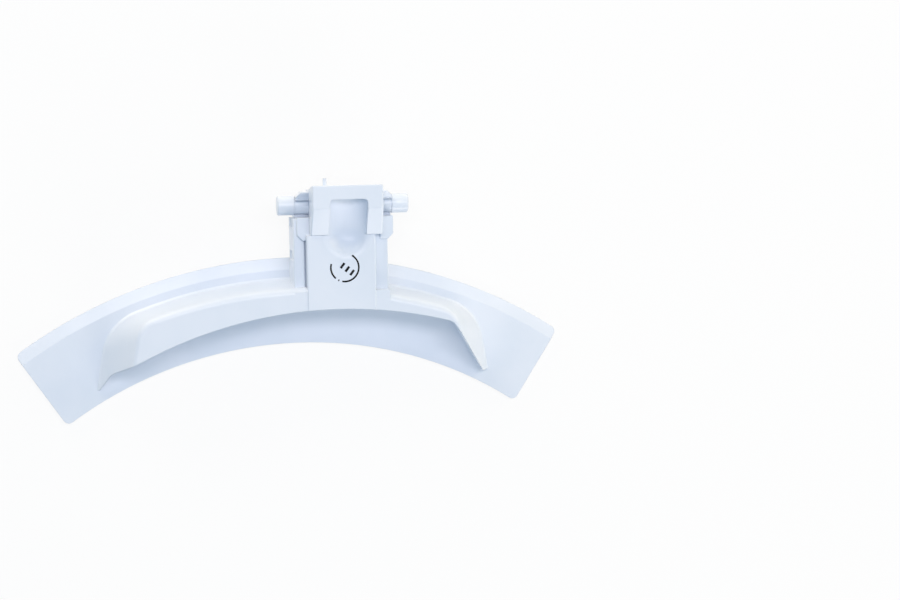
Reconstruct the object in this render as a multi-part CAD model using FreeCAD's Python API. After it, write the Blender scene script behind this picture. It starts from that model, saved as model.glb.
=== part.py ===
import FreeCAD, Part
import math
import os

# Door handle of a front-loading washing machine, seen from its machine side.
# Millimetres. X runs along the grip, Y runs outward past the grip's convex
# edge towards the pivot, Z rises from the face that the user sees.
# The pieces are drawn about the centre of the grip's arc, then moved so that
# the origin is under the middle of the whole handle.

# Grip plate, a sector of a flat ring
OUTER_RADIUS = 175.5
GRIP_WIDTH = 31.5
HALF_ANGLE = 35.1
GRIP_TURN = 0.7
GRIP_END_LEAN = 2.0
PLATE_THICKNESS = 2.5
PLATE_CORNER = 2.2
FRONT_EDGE_ROUND = 0.8

# Rim band along the convex edge, which falls away outward
BAND_WIDTH = 4.4
BAND_EDGE_THICKNESS = 1.3

# Hood over the finger pocket
WALL = 2.2
HOOD_HEIGHT = 22.0
HOOD_MIDDLE = -0.8
HOOD_RIM_GAP = 8.0
HOOD_WALL_LEAN = 2.0
HOOD_HALF_LENGTH = 69.1
HOOD_END_LEAN = 10.2
HOOD_END_DISTANCE = 30.5
HOOD_END_ANGLE = 9.5
HOOD_CORNER = 18.0
ROOF_CORNER = 9.0
SHOULDER_ROUND = 2.2
FOOT_FLARE = 0.8

# Opening of the finger pocket: an arc, then a straight cut to a blunt foot at each end
OPENING_MIDDLE = 12.0
OPENING_DISTANCE = 17.5
OPENING_RADIUS = 155.0
OPENING_CORNER = 5.0
OPENING_END_ANGLE = 34.0
OPENING_FOOT_GAP = 4.3
OPENING_SHIFT = 0.9

# Stem, an inverted channel from the hood to the pivot head
STEM_MIDDLE = 16.0
STEM_LEFT = 18.6
STEM_RIGHT = 15.5
FACE_LEFT = 14.3
FACE_RIGHT = 10.4
FACE_RISE = 0.3
FLANGE_HEIGHT = 18.5
FLANGE_START = 11.0
STEM_UNDERSIDE = 4.0
STEM_SIDE_REACH = 15.0
STEM_RIB = 1.6
STEM_RIB_COUNT = 2
RECESS_LENGTH = 3.2
RECESS_DEPTH = 0.5
RECESS_REACHES = (1.5, 13.4)
GROOVE_WIDTH = 0.6
GROOVE_DEPTH = 1.2

# Pivot pin: thick free ends and a neck that snaps into the ears' bore
PIN_REACH = 19.6
PIN_HEIGHT = 13.0
PIN_DIAMETER = 7.0
PIN_LENGTH = 47.6
PIN_CHAMFER = 0.4
PIN_SHOULDER = 0.3
PIN_PLAY = 0.15
PIN_CLEARANCE = 0.05

# Pivot head: two ears with snap slots and the core between them
EAR_SPAN = 35.0
EAR_RING = 1.5
EAR_TOP = 3.0
EAR_SLOT_WIDTH = 6.1
EAR_SLOT_OFFSET = 1.15
EAR_CHAMFER = 2.0
HOOK_DROP = 2.5
HEAD_START = 7.1
HEAD_REACH = 27.1
HEAD_WIDTH = 25.2
HEAD_BACK_STEP = 2.0
HEAD_BACK_DROP = 1.0
HEAD_RIB = 2.0
HEAD_RIB_COUNT = 2
SCOOP_SKIN = 1.5

# Bridge over the head, an inverted U with sloping legs
BRIDGE_RISE = 6.5
BRIDGE_TOP_LENGTH = 8.3
BRIDGE_LEG_START = 9.2
BRIDGE_LEG_STEP = 0.8
BRIDGE_DRAFT = 0.4
BRIDGE_BAR = 5.0
LEG_WIDTH_LEFT = 6.1
LEG_WIDTH_RIGHT = 5.5
SCOOP_RADIUS = 9.0
SCOOP_DEPTH = 3.3
SCOOP_RISE = 17.5
SCOOP_LIP = 5.0
SCOOP_CORNER = 1.5
NUB_DIAMETER = 1.4
NUB_LENGTH = 2.4
NUB_OFFSET = -7.7
NUB_DROP = 4.5

# Rounding of the stem's and head's edges
EDGE_ROUND = 0.4

# How far a cutting solid reaches past what it cuts
OVERCUT = 5.0

# Radii and distances that follow from the driving dimensions
INNER_RADIUS = OUTER_RADIUS - GRIP_WIDTH
HOOD_RADIUS = OUTER_RADIUS - HOOD_RIM_GAP
HOOD_END_LINE = OUTER_RADIUS - HOOD_END_DISTANCE
HOOD_CLOSING_LINE = INNER_RADIUS * math.cos(math.radians(HALF_ANGLE)) - OVERCUT
ROOF_UNDERSIDE = HOOD_HEIGHT - WALL
FLANGE_LINE = OUTER_RADIUS - FLANGE_START
STEM_SIDE_LINE = OUTER_RADIUS + STEM_SIDE_REACH
HEAD_LINE = OUTER_RADIUS + HEAD_START
HEAD_END_LINE = OUTER_RADIUS + HEAD_REACH
HEAD_BACK_LINE = HEAD_END_LINE - HEAD_BACK_STEP
LEG_LINE = OUTER_RADIUS + BRIDGE_LEG_START
PIN_LINE = OUTER_RADIUS + PIN_REACH
PIN_RADIUS = PIN_DIAMETER / 2
NECK_RADIUS = PIN_RADIUS - PIN_SHOULDER
NECK_LENGTH = EAR_SPAN + 2 * PIN_PLAY
BOSS_RADIUS = PIN_RADIUS + EAR_RING
EAR_HEIGHT = PIN_HEIGHT + PIN_RADIUS + EAR_TOP
SLOT_LINE = PIN_LINE - EAR_SLOT_OFFSET
HEAD_UNDERSIDE = PIN_HEIGHT - BOSS_RADIUS
EAR_WIDTH = (EAR_SPAN - HEAD_WIDTH) / 2
FACE_HEIGHT = HOOD_HEIGHT + FACE_RISE
BRIDGE_HEIGHT = HOOD_HEIGHT + BRIDGE_RISE
STEM_X = (STEM_MIDDLE - STEM_LEFT, STEM_MIDDLE + STEM_RIGHT)
FACE_X = (STEM_MIDDLE - FACE_LEFT, STEM_MIDDLE + FACE_RIGHT)
HEAD_X = (STEM_MIDDLE - HEAD_WIDTH / 2, STEM_MIDDLE + HEAD_WIDTH / 2)
EAR_X = (STEM_MIDDLE - EAR_SPAN / 2, STEM_MIDDLE + EAR_SPAN / 2)
SCOOP_X = (HEAD_X[0] + LEG_WIDTH_LEFT, HEAD_X[1] - LEG_WIDTH_RIGHT)
SCOOP_BOTTOM = FACE_HEIGHT - SCOOP_DEPTH
LIP_RADIUS = SCOOP_RADIUS + SCOOP_LIP
LIP_REACH = math.sqrt(LIP_RADIUS ** 2 - (LIP_RADIUS - SCOOP_DEPTH) ** 2)
LIP_LINE = LEG_LINE - LIP_REACH


def vec(x, y, z=0.0):
    return FreeCAD.Vector(x, y, z)


def box(xs, ys, zs):
    size = (xs[1] - xs[0], ys[1] - ys[0], zs[1] - zs[0])
    return Part.makeBox(*size, vec(xs[0], ys[0], zs[0]))


def prism(wire, depth):
    return Part.Face(wire).extrude(depth)


def side_profile(points, xs):
    """Extrude an outline of (y, z) points from xs[0] to xs[1]."""
    corners = [vec(xs[0], y, z) for y, z in points]
    return prism(Part.makePolygon(corners + corners[:1]), vec(xs[1] - xs[0], 0))


def is_curved(edge):
    """Tell a bent edge from a straight one."""
    ends = edge.Vertexes
    return edge.Length > ends[0].Point.distanceToPoint(ends[-1].Point) + 0.01


def arc(start, middle, end):
    return Part.Arc(start, middle, end).toShape()


def line(start, end):
    return Part.makeLine(start, end)


def upright_edges(shape):
    """Return the edges that run straight along Z."""
    return [e for e in shape.Edges if abs(e.tangentAt(e.FirstParameter).z) > 0.999]


def round_top(shape, radius):
    """Round the edges that bound the highest flat face."""
    top = shape.BoundBox.ZMax
    edges = [e for e in shape.Edges if e.BoundBox.ZMin > top - 0.01]
    return shape.makeFillet(radius, edges)


def ring_sector(section):
    """Sweep an (r, z) outline through the grip's angle."""
    corners = [vec(r, 0, z) for r, z in section]
    face = Part.Face(Part.makePolygon(corners + corners[:1]))
    sector = face.revolve(vec(0, 0), vec(0, 0, 1), 2 * HALF_ANGLE)
    sector.rotate(vec(0, 0), vec(0, 0, 1), 90 + GRIP_TURN - HALF_ANGLE)
    return sector


def grip_corners(side):
    """Return the inner and outer corner of one end of the grip."""
    angle = math.radians(side * HALF_ANGLE - GRIP_TURN)
    lean = angle - side * math.radians(GRIP_END_LEAN)
    inner = vec(math.sin(angle), math.cos(angle)) * INNER_RADIUS
    along = vec(math.sin(lean), math.cos(lean))
    start = inner.dot(along)
    reach = math.sqrt(start ** 2 + OUTER_RADIUS ** 2 - INNER_RADIUS ** 2) - start
    return inner, inner + along * reach


def grip_outline():
    """Build an upright block with the grip's outline and rounded corners."""
    left = grip_corners(-1)
    right = grip_corners(1)
    edges = [
        line(left[0], left[1]),
        arc(left[1], vec(0, OUTER_RADIUS), right[1]),
        line(right[1], right[0]),
        arc(right[0], vec(0, INNER_RADIUS), left[0]),
    ]
    block = prism(Part.Wire(edges), vec(0, 0, PLATE_THICKNESS))
    return block.makeFillet(PLATE_CORNER, upright_edges(block))


def grip_plate():
    """Build the flat sheet with its falling rim band and rounded corners."""
    band_start = OUTER_RADIUS - BAND_WIDTH
    sheet = ring_sector([
        (INNER_RADIUS, 0),
        (OUTER_RADIUS, 0),
        (OUTER_RADIUS, BAND_EDGE_THICKNESS),
        (band_start, PLATE_THICKNESS),
        (INNER_RADIUS, PLATE_THICKNESS),
    ])
    plate = sheet.common(grip_outline())
    front = [e for e in plate.Edges if e.BoundBox.ZMax < 0.01]
    return plate.makeFillet(FRONT_EDGE_ROUND, front)


def corner_arc(circle, radius, normal, distance, corner):
    """Round the corner where a circle meets the line normal . p = distance.

    Returns the point on the circle, the arc's middle and the point on the line.
    """
    reach = distance - corner - normal.dot(circle)
    along = vec(-normal.y, normal.x)
    if along.y < 0:
        along = along * -1
    rise = math.sqrt((radius - corner) ** 2 - reach ** 2)
    offset = normal * reach + along * rise
    centre = circle + offset
    outward = offset * (1 / offset.Length)
    middle = outward + normal
    middle = middle * (1 / middle.Length)
    return centre + outward * corner, centre + middle * corner, centre + normal * corner


def end_line(side, half_length):
    """Return the normal and distance of the line along one end of the hood."""
    lean = math.radians(HOOD_END_ANGLE)
    normal = vec(side * math.cos(lean), math.sin(lean))
    on_line = vec(HOOD_MIDDLE + side * half_length, HOOD_END_LINE)
    return normal, normal.dot(on_line)


def hood_outline(radius, half_length, corner, closing, height):
    """Draw the hood's outline at one height, from right end to left end."""
    ends = []
    corners = []
    for side in (1, -1):
        normal, distance = end_line(side, half_length)
        corners.append(corner_arc(vec(0, 0), radius, normal, distance, corner))
        x = (distance - normal.y * closing) / normal.x
        ends.append(vec(x, closing))
    right, left = corners
    edges = [
        line(ends[0], right[2]),
        arc(right[2], right[1], right[0]),
        arc(right[0], vec(0, radius), left[0]),
        arc(left[0], left[1], left[2]),
        line(left[2], ends[1]),
        line(ends[1], ends[0]),
    ]
    wire = Part.Wire(edges)
    wire.translate(vec(0, 0, height))
    return wire


def hood_outside():
    """Build the closed form of the hood, with its flared foot and shoulder."""
    levels = (
        (FOOT_FLARE, 0.0, PLATE_THICKNESS),
        (0.0, 0.0, PLATE_THICKNESS + FOOT_FLARE),
        (0.0, 1.0, HOOD_HEIGHT),
    )
    wires = []
    for flare, rise, height in levels:
        radius = HOOD_RADIUS + flare - rise * HOOD_WALL_LEAN
        half_length = HOOD_HALF_LENGTH + flare - rise * HOOD_END_LEAN
        corner = HOOD_CORNER + flare - rise * (HOOD_CORNER - ROOF_CORNER)
        wires.append(hood_outline(radius, half_length, corner, HOOD_CLOSING_LINE, height))
    form = Part.makeLoft(wires, True, True)
    shoulder = [
        e for e in form.Edges
        if e.BoundBox.ZMin > HOOD_HEIGHT - 0.01 and e.BoundBox.YMax > HOOD_CLOSING_LINE + 1
    ]
    return form.makeFillet(SHOULDER_ROUND, shoulder)


def finger_pocket():
    """Build the space inside the hood, one wall inside its outer form."""
    rise = (ROOF_UNDERSIDE - PLATE_THICKNESS) / (HOOD_HEIGHT - PLATE_THICKNESS)
    wires = []
    for share, height in ((0.0, PLATE_THICKNESS), (rise, ROOF_UNDERSIDE)):
        radius = HOOD_RADIUS - WALL - share * HOOD_WALL_LEAN
        half_length = HOOD_HALF_LENGTH - WALL - share * HOOD_END_LEAN
        corner = HOOD_CORNER - WALL - share * (HOOD_CORNER - ROOF_CORNER)
        wires.append(hood_outline(
            radius, half_length, corner, HOOD_CLOSING_LINE - OVERCUT, height))
    return Part.makeLoft(wires, True, True)


def opening_foot(side):
    """Return the point in an end wall where that end's cut comes down."""
    normal, distance = end_line(side, HOOD_HALF_LENGTH - WALL / 2 - side * OPENING_SHIFT)
    radius = INNER_RADIUS + OPENING_FOOT_GAP
    rise = math.sqrt(radius ** 2 - distance ** 2)
    return normal * distance + vec(-side * normal.y, side * normal.x) * rise


def opening_top(side, foot):
    """Return the far end of the straight cut from a foot."""
    slope = side * math.tan(math.radians(OPENING_END_ANGLE))
    return vec(foot.x - slope * (HOOD_RADIUS - foot.y), HOOD_RADIUS)


def outline_prism(points):
    """Extrude a closed outline of points to the bridge's height."""
    return prism(Part.makePolygon(points + points[:1]), vec(0, 0, BRIDGE_HEIGHT))


def pocket_opening():
    """Build the upright cut that opens the hood towards the grip's inner edge."""
    right = opening_foot(1)
    left = opening_foot(-1)
    centre = vec(OPENING_MIDDLE, OUTER_RADIUS - OPENING_DISTANCE - OPENING_RADIUS)
    disc = Part.makeCylinder(OPENING_RADIUS, BRIDGE_HEIGHT, centre)
    upper = outline_prism([left, right, opening_top(1, right), opening_top(-1, left)]).common(disc)
    corners = [e for e in upright_edges(upper) if e.CenterOfMass.y > right.y + OPENING_FOOT_GAP / 2]
    upper = upper.makeFillet(OPENING_CORNER, corners)
    low = HOOD_CLOSING_LINE - OVERCUT
    lower = outline_prism([
        vec(-OUTER_RADIUS, low),
        vec(OUTER_RADIUS, low),
        vec(OUTER_RADIUS, right.y),
        right,
        left,
        vec(-OUTER_RADIUS, left.y),
    ])
    cut = upper.fuse(lower).removeSplitter()
    cut.translate(vec(0, 0, PLATE_THICKNESS))
    return cut


def side_recesses():
    """Build the shallow pockets along both outer sides of the stem."""
    shapes = []
    heights = (STEM_UNDERSIDE + STEM_RIB, FLANGE_HEIGHT - STEM_RIB)
    for reach in RECESS_REACHES:
        middle = OUTER_RADIUS + reach
        ys = (middle - RECESS_LENGTH / 2, middle + RECESS_LENGTH / 2)
        for xs in ((STEM_X[0], STEM_X[0] + RECESS_DEPTH), (STEM_X[1] - RECESS_DEPTH, STEM_X[1])):
            shapes.append(box(xs, ys, heights))
    return shapes


def foot_groove():
    """Build the narrow groove along the foot of the raised face's left side."""
    xs = (FACE_X[0] - GROOVE_WIDTH, FACE_X[0])
    return box(xs, (FLANGE_LINE, HEAD_LINE), (FLANGE_HEIGHT - GROOVE_DEPTH, HOOD_HEIGHT))


def stem_outside():
    """Build the raised face, the recessed flanges and the pad over the hood."""
    hood_line = OUTER_RADIUS - OPENING_DISTANCE - OVERCUT
    face = box(FACE_X, (hood_line, LEG_LINE), (STEM_UNDERSIDE, FACE_HEIGHT))
    face = round_top(face, EDGE_ROUND)
    flange = box(STEM_X, (FLANGE_LINE - OVERCUT, STEM_SIDE_LINE), (STEM_UNDERSIDE, FLANGE_HEIGHT))
    flange = round_top(flange, EDGE_ROUND)
    pad = box(STEM_X, (hood_line, FLANGE_LINE), (STEM_UNDERSIDE, HOOD_HEIGHT))
    root = box(STEM_X, (hood_line, OUTER_RADIUS), (BAND_EDGE_THICKNESS / 2, STEM_UNDERSIDE))
    rim = Part.makeCylinder(OUTER_RADIUS - FRONT_EDGE_ROUND, HOOD_HEIGHT)
    return face.fuse([flange, pad, root.common(rim)]).cut(side_recesses() + [foot_groove()])


def stem_channel(hood):
    """Build the hollow under the stem, open below beyond the rim, with ribs."""
    start = OUTER_RADIUS - OPENING_DISTANCE
    end = HEAD_LINE - WALL
    low = STEM_UNDERSIDE - OVERCUT
    face_x = (FACE_X[0] + WALL, FACE_X[1] - WALL)
    stem_x = (STEM_X[0] + WALL, STEM_X[1] - WALL)
    hollow = box(face_x, (start, LIP_LINE), (low, HOOD_HEIGHT - WALL))
    hollow = hollow.fuse(box(stem_x, (start, end), (low, FLANGE_HEIGHT - WALL)))
    step = (end - HOOD_RADIUS) / (STEM_RIB_COUNT + 1)
    for index in range(1, STEM_RIB_COUNT + 1):
        y = HOOD_RADIUS + index * step
        rib = box(stem_x, (y - STEM_RIB / 2, y + STEM_RIB / 2), (STEM_UNDERSIDE, HOOD_HEIGHT))
        hollow = hollow.cut(rib)
    floor = Part.makeCylinder(OUTER_RADIUS, PLATE_THICKNESS - low)
    floor.translate(vec(0, 0, low))
    return hollow.cut([hood, floor])


def ear(side):
    """Build one ear with its chamfered outer corners."""
    xs = sorted((STEM_MIDDLE + side * EAR_SPAN / 2, STEM_MIDDLE + side * HEAD_WIDTH / 2))
    block = box(xs, (HEAD_LINE, PIN_LINE), (STEM_UNDERSIDE, EAR_HEIGHT))
    hook = side_profile([
        (PIN_LINE, PIN_HEIGHT),
        (PIN_LINE, EAR_HEIGHT - HOOK_DROP),
        (SLOT_LINE + EAR_SLOT_WIDTH / 2, EAR_HEIGHT - HOOK_DROP),
        (PIN_LINE + BOSS_RADIUS, EAR_HEIGHT),
        (PIN_LINE + BOSS_RADIUS, PIN_HEIGHT),
    ], xs)
    boss = Part.makeCylinder(BOSS_RADIUS, EAR_WIDTH, vec(xs[0], PIN_LINE, PIN_HEIGHT), vec(1, 0))
    body = block.fuse([hook, boss]).removeSplitter()
    outer_x = STEM_MIDDLE + side * EAR_SPAN / 2
    corners = [e for e in upright_edges(body) if abs(e.CenterOfMass.x - outer_x) < 0.01]
    ends = [e for e in corners if abs(e.CenterOfMass.y - PIN_LINE) > EAR_RING]
    return round_top(body.makeChamfer(min(EAR_CHAMFER, EAR_WIDTH / 2), ends), EDGE_ROUND)


def ear_slots():
    """Build the snap slots that open both ears above the pin."""
    ys = (SLOT_LINE - EAR_SLOT_WIDTH / 2, SLOT_LINE + EAR_SLOT_WIDTH / 2)
    slots = []
    for xs in ((EAR_X[0] - OVERCUT, HEAD_X[0]), (HEAD_X[1], EAR_X[1] + OVERCUT)):
        slots.append(box(xs, ys, (PIN_HEIGHT, EAR_HEIGHT + OVERCUT)))
    return slots


def bridge():
    """Build the solid form of the bridge, with a sloping front and leaning sides."""
    form = side_profile([
        (LEG_LINE, HOOD_HEIGHT - WALL),
        (LEG_LINE, HOOD_HEIGHT + BRIDGE_LEG_STEP),
        (HEAD_END_LINE - BRIDGE_TOP_LENGTH, BRIDGE_HEIGHT),
        (HEAD_END_LINE, BRIDGE_HEIGHT),
        (HEAD_END_LINE, HOOD_HEIGHT - WALL),
    ], (HEAD_X[0] - BRIDGE_DRAFT, HEAD_X[1] + BRIDGE_DRAFT))
    ends = [
        vec(HEAD_X[0] - BRIDGE_DRAFT, LEG_LINE, HOOD_HEIGHT - WALL),
        vec(HEAD_X[1] + BRIDGE_DRAFT, LEG_LINE, HOOD_HEIGHT - WALL),
        vec(HEAD_X[1], LEG_LINE, BRIDGE_HEIGHT),
        vec(HEAD_X[0], LEG_LINE, BRIDGE_HEIGHT),
    ]
    sides = prism(Part.makePolygon(ends + ends[:1]), vec(0, HEAD_END_LINE - LEG_LINE))
    form = form.common(sides)
    upper = [e for e in form.Edges if e.CenterOfMass.z > HOOD_HEIGHT + BRIDGE_LEG_STEP]
    return form.makeFillet(EDGE_ROUND, upper)


def head_back():
    """Build the cut that steps the head's end in below the bridge."""
    far = HEAD_END_LINE + OVERCUT
    low = HEAD_UNDERSIDE - OVERCUT
    return side_profile([
        (HEAD_END_LINE, BRIDGE_HEIGHT - HEAD_BACK_DROP),
        (far, BRIDGE_HEIGHT - HEAD_BACK_DROP),
        (far, low),
        (HEAD_BACK_LINE, low),
        (HEAD_BACK_LINE, FLANGE_HEIGHT),
    ], (HEAD_X[0] - OVERCUT, HEAD_X[1] + OVERCUT))


def head_core():
    """Build the block between the ears, lower where the raised face meets it."""
    low = box(HEAD_X, (HEAD_LINE, HEAD_END_LINE), (HEAD_UNDERSIDE, FLANGE_HEIGHT))
    high = box(HEAD_X, (LEG_LINE, HEAD_END_LINE), (HEAD_UNDERSIDE, HOOD_HEIGHT))
    return low.fuse([high, bridge()]).cut(head_back())


def trough():
    """Build the round form of the scoop, which rises towards the bridge's bar."""
    middle = vec((SCOOP_X[0] + SCOOP_X[1]) / 2, LEG_LINE, SCOOP_BOTTOM + SCOOP_RADIUS)
    rise = math.radians(SCOOP_RISE)
    along = vec(0, math.cos(rise), math.sin(rise))
    end = Part.makeSphere(SCOOP_RADIUS, middle)
    return end.fuse(Part.makeCylinder(SCOOP_RADIUS, HEAD_END_LINE - LEG_LINE, middle, along))


def scoop():
    """Build the hollow under the bridge, whose lip fades into the face."""
    form = trough()
    middle = (SCOOP_X[0] + SCOOP_X[1]) / 2
    lip_x = (middle - LIP_REACH - OVERCUT, middle + LIP_REACH + OVERCUT)
    lip_y = (LIP_LINE - OVERCUT, LEG_LINE)
    low = SCOOP_BOTTOM - OVERCUT
    face = box(lip_x, lip_y, (low, FACE_HEIGHT)).cut(form)
    lip = [e for e in face.Edges if e.BoundBox.ZMin > FACE_HEIGHT - 0.01 and is_curved(e)]
    face = face.makeFillet(SCOOP_LIP, lip)
    mouth = box(lip_x, lip_y, (low, BRIDGE_HEIGHT)).cut(face)
    room = box(SCOOP_X, (LEG_LINE, HEAD_END_LINE - BRIDGE_BAR), (low, BRIDGE_HEIGHT + OVERCUT))
    corners = [e for e in upright_edges(room) if e.CenterOfMass.y > LEG_LINE + 1]
    return mouth.fuse(room.makeFillet(SCOOP_CORNER, corners).common(form))


def head_hollow():
    """Build the hollow under the core, crossed by ribs that carry the pin."""
    xs = (HEAD_X[0] + WALL, HEAD_X[1] - WALL)
    ys = (HEAD_LINE + WALL, HEAD_BACK_LINE - WALL)
    top = SCOOP_BOTTOM - SCOOP_SKIN
    hollow = box(xs, ys, (HEAD_UNDERSIDE - OVERCUT, top))
    step = (xs[1] - xs[0]) / (HEAD_RIB_COUNT + 1)
    for index in range(1, HEAD_RIB_COUNT + 1):
        x = xs[0] + index * step
        hollow = hollow.cut(box((x - HEAD_RIB / 2, x + HEAD_RIB / 2), ys, (HEAD_UNDERSIDE, top)))
    return hollow


def pin_cylinder(radius, length):
    start = vec(STEM_MIDDLE - length / 2, PIN_LINE, PIN_HEIGHT)
    return Part.makeCylinder(radius, length, start, vec(1, 0))


def nub():
    """Build the small peg on the head's outer end."""
    start = vec(STEM_MIDDLE + NUB_OFFSET, HEAD_BACK_LINE, BRIDGE_HEIGHT - NUB_DROP)
    return Part.makeCylinder(NUB_DIAMETER / 2, NUB_LENGTH + HEAD_BACK_STEP, start, vec(0, 1))


def handle_body():
    """Build the one-piece moulding: grip, hood, stem and pivot head."""
    hood = hood_outside()
    body = grip_plate().fuse([hood, stem_outside(), head_core(), ear(-1), ear(1)])
    cuts = [finger_pocket(), stem_channel(hood), head_hollow(), scoop(), pocket_opening()]
    cuts += ear_slots()
    cuts.append(pin_cylinder(NECK_RADIUS + PIN_CLEARANCE, EAR_SPAN + 2 * OVERCUT))
    return body.cut(cuts).fuse(nub()).removeSplitter()


def pivot_pin():
    """Build the round pin, whose shoulders hold it between the ears' outer sides."""
    pin = pin_cylinder(PIN_RADIUS, PIN_LENGTH)
    rims = [e for e in pin.Edges if e.BoundBox.XLength < 0.01]
    pin = pin.makeChamfer(PIN_CHAMFER, rims)
    waist = pin_cylinder(PIN_RADIUS + OVERCUT, NECK_LENGTH).cut(pin_cylinder(NECK_RADIUS, NECK_LENGTH))
    return pin.cut(waist)


def main():
    pieces = {"handle_body": handle_body(), "pivot_pin": pivot_pin()}
    whole = Part.makeCompound(list(pieces.values())).optimalBoundingBox(False, False)
    origin = vec(whole.Center.x, whole.Center.y, whole.ZMin)
    os.makedirs("parts", exist_ok=True)
    for name, shape in pieces.items():
        shape.translate(origin * -1)
        shape.exportStep("parts/" + name + ".step")
        print(name, len(shape.Solids), "solids, valid", shape.isValid(), "volume", round(shape.Volume))
    print("origin", [round(value, 3) for value in origin])


main()
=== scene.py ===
import math

import bpy
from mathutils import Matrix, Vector


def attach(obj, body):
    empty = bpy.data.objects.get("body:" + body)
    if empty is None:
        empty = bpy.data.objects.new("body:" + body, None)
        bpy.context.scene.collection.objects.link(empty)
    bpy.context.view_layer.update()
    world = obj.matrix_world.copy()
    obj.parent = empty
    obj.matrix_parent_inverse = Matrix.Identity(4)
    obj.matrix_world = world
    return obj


# Door handle of a front-loading washing machine, lying on its front face.
# Metres, in the frame of the CAD model.

# Camera: place, turns in degrees and lens in millimetres
CAMERA_PLACE = (-0.07345, 0.06705, 0.68362)
CAMERA_TURN = (-5.6435, -11.0823, -0.8365)
CAMERA_LENS = 74.67
CAMERA_SENSOR = 36
CAMERA_NEAR = 0.01

# Colours, linear
PLASTIC = (0.73, 0.79, 0.885)
PLASTIC_SHADE = (0.69, 0.76, 0.86)
PIN_PLASTIC = (0.73, 0.79, 0.88)
INK = (0.006, 0.006, 0.008)
AIR = (0.62, 0.83, 1.0)
FLOOR = (0.86, 0.87, 0.88)

# Moulded plastic: refraction, roughness of each piece and how far it wanders
PLASTIC_IOR = 1.49
BODY_ROUGHNESS = 0.32
PIN_ROUGHNESS = 0.28
GLOSS_WANDER = (-0.05, 0.07)
GLOSS_NOISE = (260, 4)

# Faint cloudy tone: noise scale and detail, and the range that it is spread over
CLOUD_NOISE = (45, 3)
CLOUD_RANGE = (0.35, 0.62)

# Skin: rounding of moulded edges, then two bumps of noise, strength and distance
EDGE_ROUND = 0.0004
EDGE_SAMPLES = 6
SINK_NOISE = (60, 2)
SINK_BUMP = (0.10, 0.0004)
GRAIN_NOISE = (1500, 2)
GRAIN_BUMP = (0.05, 0.0002)

# Soft lamps aimed at the object: name, azimuth, elevation, size, power, colour
LAMP_DISTANCE = 1.0
SOFTBOX = (0.53, 0.53)
STRIP = (1.00, 0.22)
LAMPS = (
    ("back_softbox", 120, 14, SOFTBOX, 4.8, (1.0, 0.82, 0.58)),
    ("back_strip", 84, 72, STRIP, 4.5, (0.99, 0.91, 0.92)),
    ("right_softbox", 30, 14, SOFTBOX, 3.9, (1.0, 0.78, 0.44)),
    ("front_softbox", 295, 14, SOFTBOX, 5.8, (1.0, 0.87, 0.73)),
)
AMBIENT = 0.48

# Floor just under the object, and its share of plain white where it is seen
FLOOR_SIZE = 6
FLOOR_DROP = 0.0002
FLOOR_WHITE = 0.88

# Ink ring and strokes on the stem's face, arcs and angle in degrees
INK_PLACE = (0.01690, 0.01155)
INK_RADIUS = 0.00505
INK_WIDTH = 0.00060
INK_DEPTH = 0.00003
INK_ARCS = ((58, -102), (164, 229), (241, 246))
INK_TICKS = ((-0.0008, 0.0007), (0.0009, -0.0006), (0.0026, -0.0019))
INK_TICK_LENGTH = 0.0023
INK_TICK_WIDTH = 0.00085
INK_TICK_ANGLE = 52
INK_ARC_STEP = 5
INK_ROUGHNESS = 0.8
INK_SPECULAR = 0.2
INK_NOISE = (2600, 3)
INK_WORN_RANGE = (0.66, 0.80)


def empty_tree(owner):
    """Clear the node tree of a material or the world, and return its nodes and links."""
    owner.use_nodes = True
    tree = owner.node_tree
    tree.nodes.clear()
    return tree.nodes, tree.links


def noise(nodes, links, place, kind):
    """Return noise of one scale and detail."""
    texture = nodes.new("ShaderNodeTexNoise")
    texture.inputs["Scale"].default_value, texture.inputs["Detail"].default_value = kind
    links.new(place, texture.inputs["Vector"])
    return texture.outputs["Fac"]


def bump(nodes, links, height, normal, kind):
    """Return a normal that a height bends by one strength and distance."""
    node = nodes.new("ShaderNodeBump")
    node.inputs["Strength"].default_value, node.inputs["Distance"].default_value = kind
    links.new(height, node.inputs["Height"])
    links.new(normal, node.inputs["Normal"])
    return node.outputs["Normal"]


def blend(nodes, links, factor, span, first, second):
    """Return a mix of two colours as a factor crosses a span."""
    tone = nodes.new("ShaderNodeMapRange")
    tone.inputs["From Min"].default_value, tone.inputs["From Max"].default_value = span
    links.new(factor, tone.inputs["Value"])
    mix = nodes.new("ShaderNodeMix")
    mix.data_type = "RGBA"
    mix.inputs["A"].default_value = (*first, 1)
    mix.inputs["B"].default_value = (*second, 1)
    links.new(tone.outputs["Result"], mix.inputs["Factor"])
    return mix.outputs["Result"]


def moulded_skin(nodes, links, place):
    """Return a normal with rounded moulding edges and a fine uneven skin."""
    edges = nodes.new("ShaderNodeBevel")
    edges.samples = EDGE_SAMPLES
    edges.inputs["Radius"].default_value = EDGE_ROUND
    height = noise(nodes, links, place, SINK_NOISE)
    sunk = bump(nodes, links, height, edges.outputs["Normal"], SINK_BUMP)
    return bump(nodes, links, noise(nodes, links, place, GRAIN_NOISE), sunk, GRAIN_BUMP)


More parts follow.
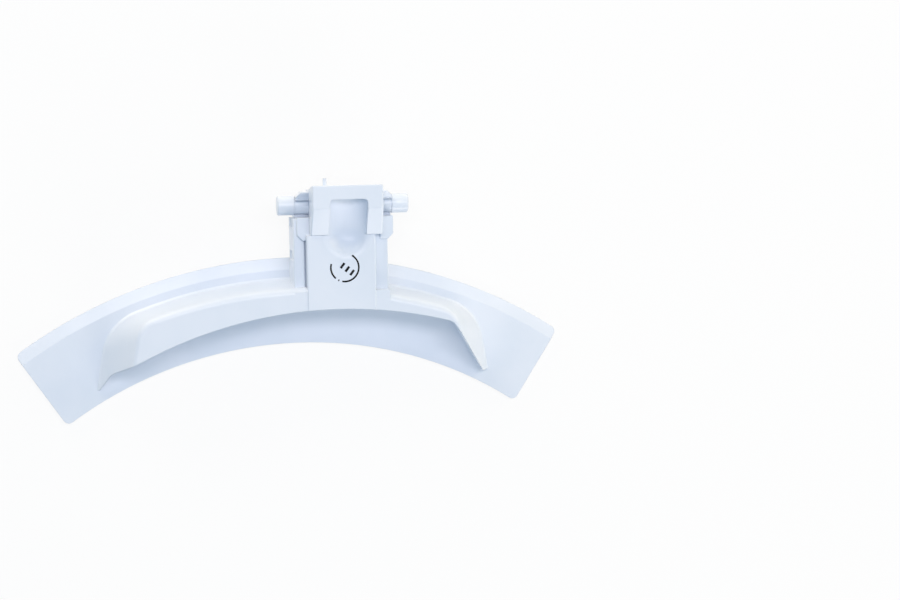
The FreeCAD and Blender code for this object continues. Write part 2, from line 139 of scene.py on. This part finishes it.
def moulded_plastic(name, colour, roughness):
    """Make white moulded plastic: faint cloudy tone, uneven gloss and a fine skin."""
    material = bpy.data.materials.new(name)
    nodes, links = empty_tree(material)
    output = nodes.new("ShaderNodeOutputMaterial")
    shader = nodes.new("ShaderNodeBsdfPrincipled")
    shader.inputs["IOR"].default_value = PLASTIC_IOR
    links.new(shader.outputs["BSDF"], output.inputs["Surface"])
    place = nodes.new("ShaderNodeTexCoord").outputs["Object"]
    cloud = noise(nodes, links, place, CLOUD_NOISE)
    tone = blend(nodes, links, cloud, CLOUD_RANGE, PLASTIC_SHADE, colour)
    links.new(tone, shader.inputs["Base Color"])
    gloss = nodes.new("ShaderNodeMapRange")
    gloss.inputs["To Min"].default_value = roughness + GLOSS_WANDER[0]
    gloss.inputs["To Max"].default_value = roughness + GLOSS_WANDER[1]
    links.new(noise(nodes, links, place, GLOSS_NOISE), gloss.inputs["Value"])
    links.new(gloss.outputs["Result"], shader.inputs["Roughness"])
    links.new(moulded_skin(nodes, links, place), shader.inputs["Normal"])
    return material


def stamp_ink():
    """Make black stamping ink, worn thin in small patches."""
    material = bpy.data.materials.new("ink")
    nodes, links = empty_tree(material)
    output = nodes.new("ShaderNodeOutputMaterial")
    shader = nodes.new("ShaderNodeBsdfPrincipled")
    shader.inputs["Roughness"].default_value = INK_ROUGHNESS
    shader.inputs["Specular IOR Level"].default_value = INK_SPECULAR
    links.new(shader.outputs["BSDF"], output.inputs["Surface"])
    place = nodes.new("ShaderNodeTexCoord").outputs["Object"]
    wear = noise(nodes, links, place, INK_NOISE)
    tone = blend(nodes, links, wear, INK_WORN_RANGE, INK, PLASTIC_SHADE)
    links.new(tone, shader.inputs["Base Color"])
    return material


def dress(node, material):
    """Give a node of the model its material."""
    node.data.materials.clear()
    node.data.materials.append(material)


def ribbon(name, line, width, base):
    """Build a flat strip of ink along a line of (x, y) points, lying on a face.

    Each point of the line gives four corners, low and high on both sides.
    """
    points = []
    for index, point in enumerate(line):
        before = line[max(index - 1, 0)]
        after = line[min(index + 1, len(line) - 1)]
        along = (after - before).normalized()
        side = Vector((-along.y, along.x)) * width / 2
        for edge in (point - side, point + side):
            points.append((edge.x, edge.y, base))
            points.append((edge.x, edge.y, base + INK_DEPTH))
    faces = [(0, 2, 3, 1)]
    for start in range(0, len(points) - 4, 4):
        for a, b in ((0, 1), (1, 3), (3, 2), (2, 0)):
            faces.append((start + a, start + b, start + 4 + b, start + 4 + a))
    last = len(points) - 4
    faces.append((last, last + 1, last + 3, last + 2))
    mesh = bpy.data.meshes.new(name)
    mesh.from_pydata(points, [], faces)
    piece = bpy.data.objects.new(name, mesh)
    bpy.context.scene.collection.objects.link(piece)
    return piece


def face_height(node, x, y):
    """Return how high a node's surface is at one place."""
    _, point, _, _ = node.ray_cast(Vector((x, y, 1)), Vector((0, 0, -1)))
    return point.z


def arc_line(centre, radius, start, end):
    """Return points along an arc, a few degrees apart."""
    count = max(2, round(abs(end - start) / INK_ARC_STEP))
    line = []
    for step in range(count + 1):
        angle = math.radians(start + (end - start) * step / count)
        line.append(centre + Vector((math.cos(angle), math.sin(angle))) * radius)
    return line


def ink_mark(body):
    """Stamp a broken ring with three plain strokes on the stem's face."""
    ink = stamp_ink()
    centre = Vector(INK_PLACE)
    base = face_height(body, *INK_PLACE)
    lines = [(arc_line(centre, INK_RADIUS, start, end), INK_WIDTH) for start, end in INK_ARCS]
    angle = math.radians(INK_TICK_ANGLE)
    half = Vector((math.cos(angle), math.sin(angle))) * INK_TICK_LENGTH / 2
    for offset in INK_TICKS:
        middle = centre + Vector(offset)
        lines.append(([middle - half, middle, middle + half], INK_TICK_WIDTH))
    for index, (line, width) in enumerate(lines):
        piece = ribbon(f"ink_{index}", line, width, base)
        piece.data.materials.append(ink)
        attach(piece, "handle")


def seen_directly(nodes, links):
    """Return 1 for rays from the camera, a mirror or glass, and 0 for light on the object."""
    path = nodes.new("ShaderNodeLightPath")
    total = path.outputs["Is Camera Ray"]
    for ray in ("Is Glossy Ray", "Is Transmission Ray"):
        add = nodes.new("ShaderNodeMath")
        add.operation = "MAXIMUM"
        links.new(total, add.inputs[0])
        links.new(path.outputs[ray], add.inputs[1])
        total = add.outputs["Value"]
    return total


def make_world():
    """Light the object with a pale sky, which is white where it is seen."""
    world = bpy.data.worlds.new("studio")
    bpy.context.scene.world = world
    nodes, links = empty_tree(world)
    ambient = nodes.new("ShaderNodeBackground")
    ambient.inputs["Color"].default_value = (*AIR, 1)
    ambient.inputs["Strength"].default_value = AMBIENT
    white = nodes.new("ShaderNodeBackground")
    white.inputs["Color"].default_value = (1, 1, 1, 1)
    mix = nodes.new("ShaderNodeMixShader")
    output = nodes.new("ShaderNodeOutputWorld")
    links.new(seen_directly(nodes, links), mix.inputs["Fac"])
    links.new(ambient.outputs["Background"], mix.inputs[1])
    links.new(white.outputs["Background"], mix.inputs[2])
    links.new(mix.outputs["Shader"], output.inputs["Surface"])


def make_floor():
    """Lay a pale floor that reads as white and keeps the object's shadow."""
    bpy.ops.mesh.primitive_plane_add(size=FLOOR_SIZE, location=(0, 0, -FLOOR_DROP))
    floor = bpy.context.object
    floor.name = "floor"
    material = bpy.data.materials.new("floor")
    nodes, links = empty_tree(material)
    diffuse = nodes.new("ShaderNodeBsdfDiffuse")
    diffuse.inputs["Color"].default_value = (*FLOOR, 1)
    white = nodes.new("ShaderNodeEmission")
    white.inputs["Color"].default_value = (1, 1, 1, 1)
    share = nodes.new("ShaderNodeMath")
    share.operation = "MULTIPLY"
    share.inputs[1].default_value = FLOOR_WHITE
    links.new(seen_directly(nodes, links), share.inputs[0])
    mix = nodes.new("ShaderNodeMixShader")
    output = nodes.new("ShaderNodeOutputMaterial")
    links.new(share.outputs["Value"], mix.inputs["Fac"])
    links.new(diffuse.outputs["BSDF"], mix.inputs[1])
    links.new(white.outputs["Emission"], mix.inputs[2])
    links.new(mix.outputs["Shader"], output.inputs["Surface"])
    floor.data.materials.append(material)


def make_lamps():
    """Place the soft lamps around the object."""
    for name, azimuth, elevation, size, power, colour in LAMPS:
        data = bpy.data.lights.new(name, "AREA")
        data.shape = "RECTANGLE"
        data.size, data.size_y = size
        data.energy = power
        data.color = colour
        lamp = bpy.data.objects.new(name, data)
        bpy.context.scene.collection.objects.link(lamp)
        around = math.radians(azimuth)
        up = math.radians(elevation)
        across = math.cos(up)
        direction = Vector((math.cos(around) * across, math.sin(around) * across, math.sin(up)))
        lamp.location = direction * LAMP_DISTANCE
        lamp.rotation_euler = (-direction).to_track_quat("-Z", "Y").to_euler()


def make_camera():
    """Place the camera at the photograph's viewing angle."""
    data = bpy.data.cameras.new("camera")
    data.lens = CAMERA_LENS
    data.sensor_width = CAMERA_SENSOR
    data.sensor_fit = "HORIZONTAL"
    data.clip_start = CAMERA_NEAR
    camera = bpy.data.objects.new("camera", data)
    bpy.context.scene.collection.objects.link(camera)
    camera.location = CAMERA_PLACE
    camera.rotation_euler = [math.radians(angle) for angle in CAMERA_TURN]
    bpy.context.scene.camera = camera


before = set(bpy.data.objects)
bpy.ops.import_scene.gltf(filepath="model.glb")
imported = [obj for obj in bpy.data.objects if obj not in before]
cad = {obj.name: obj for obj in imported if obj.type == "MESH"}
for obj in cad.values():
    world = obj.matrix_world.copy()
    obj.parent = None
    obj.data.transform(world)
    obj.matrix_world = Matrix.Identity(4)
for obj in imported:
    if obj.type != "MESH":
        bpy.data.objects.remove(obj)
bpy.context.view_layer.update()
dress(cad["handle_body"], moulded_plastic("body_plastic", PLASTIC, BODY_ROUGHNESS))
dress(cad["pivot_pin"], moulded_plastic("pin_plastic", PIN_PLASTIC, PIN_ROUGHNESS))
ink_mark(cad["handle_body"])
make_world()
make_floor()
make_lamps()
make_camera()
bpy.context.scene.view_settings.view_transform = "Standard"
